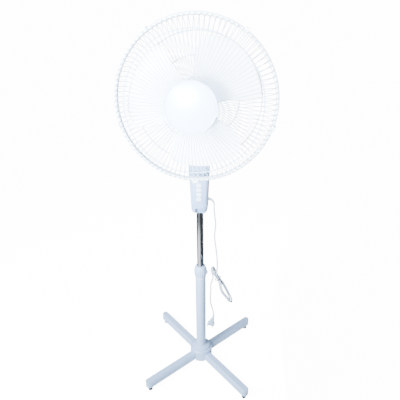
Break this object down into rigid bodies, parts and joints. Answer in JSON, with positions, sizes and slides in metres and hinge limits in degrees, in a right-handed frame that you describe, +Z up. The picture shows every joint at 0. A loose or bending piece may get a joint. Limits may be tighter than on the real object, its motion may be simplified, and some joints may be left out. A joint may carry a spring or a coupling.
{
  "type": "pedestal fan",
  "caption": "Pedestal fan on a cross-shaped foot with a telescopic pole, push-button control box, wire guards and a tilting, swinging head.",
  "frame": {"origin": "on the floor under the centre line of the pole", "axes": "+Z up the pole, -Y the way the fan blows, +X to the right as seen from the front"},
  "size_m": [0.446, 0.3824, 1.2764],
  "materials": {
    "base_bar_lower": "powder coated",
    "base_bar_upper": "powder coated",
    "base_end_caps": "moulded, satin",
    "rubber_feet": "moulded",
    "base_screws": "plain",
    "base_nuts": "plain",
    "base_cover": "moulded, satin",
    "pole_flange": "plain",
    "outer_pole": "powder coated",
    "pole_bushing": "moulded",
    "height_collar": "moulded, satin",
    "inner_pole": "polished",
    "inner_pole_glide": "moulded",
    "pole_socket": "moulded",
    "control_box_front": "moulded, satin",
    "control_box_rear": "moulded, satin",
    "box_screws": "plain",
    "switch_block": "moulded",
    "motor_capacitor": "moulded",
    "strain_relief": "moulded",
    "cord_upper": "moulded",
    "cord_hank": "moulded",
    "cord_tie": "moulded",
    "cord_lower": "moulded",
    "plug_body": "moulded",
    "plug_pins": "plain",
    "neck_column": "moulded, satin",
    "tilt_bolt": "plain",
    "tilt_knob": "moulded, satin",
    "button_off": "moulded, satin",
    "button_low": "moulded, satin",
    "button_medium": "moulded, satin",
    "button_high": "moulded, satin",
    "tilt_neck": "moulded, satin",
    "motor_yoke": "plain",
    "motor_front_bracket": "plain",
    "stator_core": "plain",
    "stator_windings": "plain",
    "shaft_bushes": "plain",
    "motor_shell_front": "moulded, satin",
    "motor_shell_rear": "moulded, satin",
    "gearbox": "plain",
    "rear_guard": "powder coated",
    "guard_nut": "moulded, satin",
    "front_guard": "powder coated",
    "guard_cap": "moulded, satin",
    "rotor_core": "plain",
    "rotor_shaft": "plain",
    "impeller": "moulded",
    "spinner_nut": "moulded",
    "oscillation_crank": "moulded",
    "oscillation_knob": "moulded, satin",
    "guard_clip_1": "moulded",
    "guard_clip_2": "moulded",
    "guard_clip_3": "moulded",
    "guard_clip_4": "moulded",
    "guard_clip_5": "moulded"
  },
  "bodies": {
    "stand": {"base_bar_lower": "base_bar_lower", "base_bar_upper": "base_bar_upper", "base_end_caps": "base_end_caps", "rubber_feet": "rubber_feet", "base_screws": "base_screws", "base_nuts": "base_nuts", "base_cover": "base_cover", "pole_flange": "pole_flange", "outer_pole": "outer_pole", "pole_bushing": "pole_bushing"},
    "height_collar": {"height_collar": "height_collar"},
    "mast": {"inner_pole": "inner_pole", "inner_pole_glide": "inner_pole_glide", "pole_socket": "pole_socket", "control_box_front": "control_box_front", "control_box_rear": "control_box_rear", "box_screws": "box_screws", "switch_block": "switch_block", "motor_capacitor": "motor_capacitor", "strain_relief": "strain_relief", "cord_upper": "cord_upper", "cord_hank": "cord_hank", "cord_tie": "cord_tie", "cord_lower": "cord_lower", "plug_body": "plug_body", "plug_pins": "plug_pins", "neck_column": "neck_column", "tilt_bolt": "tilt_bolt"},
    "tilt_knob": {"tilt_knob": "tilt_knob"},
    "button_off": {"button_off": "button_off"},
    "button_low": {"button_low": "button_low"},
    "button_medium": {"button_medium": "button_medium"},
    "button_high": {"button_high": "button_high"},
    "tilt_neck": {"tilt_neck": "tilt_neck"},
    "head": {"motor_yoke": "motor_yoke", "motor_front_bracket": "motor_front_bracket", "stator_core": "stator_core", "stator_windings": "stator_windings", "shaft_bushes": "shaft_bushes", "motor_shell_front": "motor_shell_front", "motor_shell_rear": "motor_shell_rear", "gearbox": "gearbox", "rear_guard": "rear_guard", "guard_nut": "guard_nut", "front_guard": "front_guard", "guard_cap": "guard_cap"},
    "rotor": {"rotor_core": "rotor_core", "rotor_shaft": "rotor_shaft", "impeller": "impeller", "spinner_nut": "spinner_nut"},
    "oscillation_crank": {"oscillation_crank": "oscillation_crank"},
    "oscillation_knob": {"oscillation_knob": "oscillation_knob"},
    "guard_clip_1": {"guard_clip_1": "guard_clip_1"},
    "guard_clip_2": {"guard_clip_2": "guard_clip_2"},
    "guard_clip_3": {"guard_clip_3": "guard_clip_3"},
    "guard_clip_4": {"guard_clip_4": "guard_clip_4"},
    "guard_clip_5": {"guard_clip_5": "guard_clip_5"}
  },
  "joints": [
    {"name": "height_lock_turn", "type": "hinge", "parent": "stand", "child": "height_collar", "pos_m": [0, 0, 0.42], "axis": [0, 0, 1], "range_deg": [0, 90]},
    {"name": "height_slide", "type": "slide", "parent": "stand", "child": "mast", "axis": [0, 0, 1], "range_m": [-0.14, 0.1]},
    {"name": "tilt_knob_turn", "type": "hinge", "parent": "mast", "child": "tilt_knob", "pos_m": [0.02, 0, 0.9485], "axis": [1, 0, 0], "range_deg": [0, 180]},
    {"name": "button_off_press", "type": "slide", "parent": "mast", "child": "button_off", "axis": [0, 1, 0], "range_m": [0, 0.0035], "stiffness_N_per_m": 600, "springref_m": -0.001},
    {"name": "button_low_press", "type": "slide", "parent": "mast", "child": "button_low", "axis": [0, 1, 0], "range_m": [0, 0.0035], "stiffness_N_per_m": 600, "springref_m": -0.001},
    {"name": "button_medium_press", "type": "slide", "parent": "mast", "child": "button_medium", "axis": [0, 1, 0], "range_m": [0, 0.0035], "stiffness_N_per_m": 600, "springref_m": -0.001},
    {"name": "button_high_press", "type": "slide", "parent": "mast", "child": "button_high", "axis": [0, 1, 0], "range_m": [0, 0.0035], "stiffness_N_per_m": 600, "springref_m": -0.001},
    {"name": "head_tilt", "type": "hinge", "parent": "mast", "child": "tilt_neck", "pos_m": [0, 0, 0.9485], "axis": [-1, 0, 0], "range_deg": [-12, 20]},
    {"name": "head_swing", "type": "hinge", "parent": "tilt_neck", "child": "head", "pos_m": [0, 0.00251, 0.97237], "axis": [0, 0.1045, 0.9945], "range_deg": [-40, 40]},
    {"name": "rotor_spin", "type": "hinge", "parent": "head", "child": "rotor", "pos_m": [0, 0.01004, 1.04397], "axis": [0, -0.9945, 0.1045], "continuous": true},
    {"name": "crank_spin", "type": "hinge", "parent": "head", "child": "oscillation_crank", "pos_m": [0, 0.04862, 0.9997], "axis": [0, 0.1045, 0.9945], "continuous": true},
    {"name": "oscillation_knob_lift", "type": "slide", "parent": "head", "child": "oscillation_knob", "axis": [0, 0.1045, 0.9945], "range_m": [0, 0.008]},
    {"name": "clip_1_open", "type": "hinge", "parent": "head", "child": "guard_clip_1", "pos_m": [0, -0.09912, 0.8282], "axis": [1, 0, 0], "range_deg": [0, 100]},
    {"name": "clip_2_open", "type": "hinge", "parent": "head", "child": "guard_clip_2", "pos_m": [0.21494, -0.08279, 0.98351], "axis": [0.309, 0.0994, 0.9458], "range_deg": [0, 100]},
    {"name": "clip_3_open", "type": "hinge", "parent": "head", "child": "guard_clip_3", "pos_m": [0.13284, -0.05638, 1.2348], "axis": [-0.809, 0.0614, 0.5846], "range_deg": [0, 100]},
    {"name": "clip_4_open", "type": "hinge", "parent": "head", "child": "guard_clip_4", "pos_m": [-0.13284, -0.05638, 1.2348], "axis": [-0.809, -0.0614, -0.5846], "range_deg": [0, 100]},
    {"name": "clip_5_open", "type": "hinge", "parent": "head", "child": "guard_clip_5", "pos_m": [-0.21494, -0.08279, 0.98351], "axis": [0.309, -0.0994, -0.9458], "range_deg": [0, 100]}
  ],
  "couplings": [
    {"joint": "crank_spin", "follows": "rotor_spin", "ratio": 0.005}
  ]
}
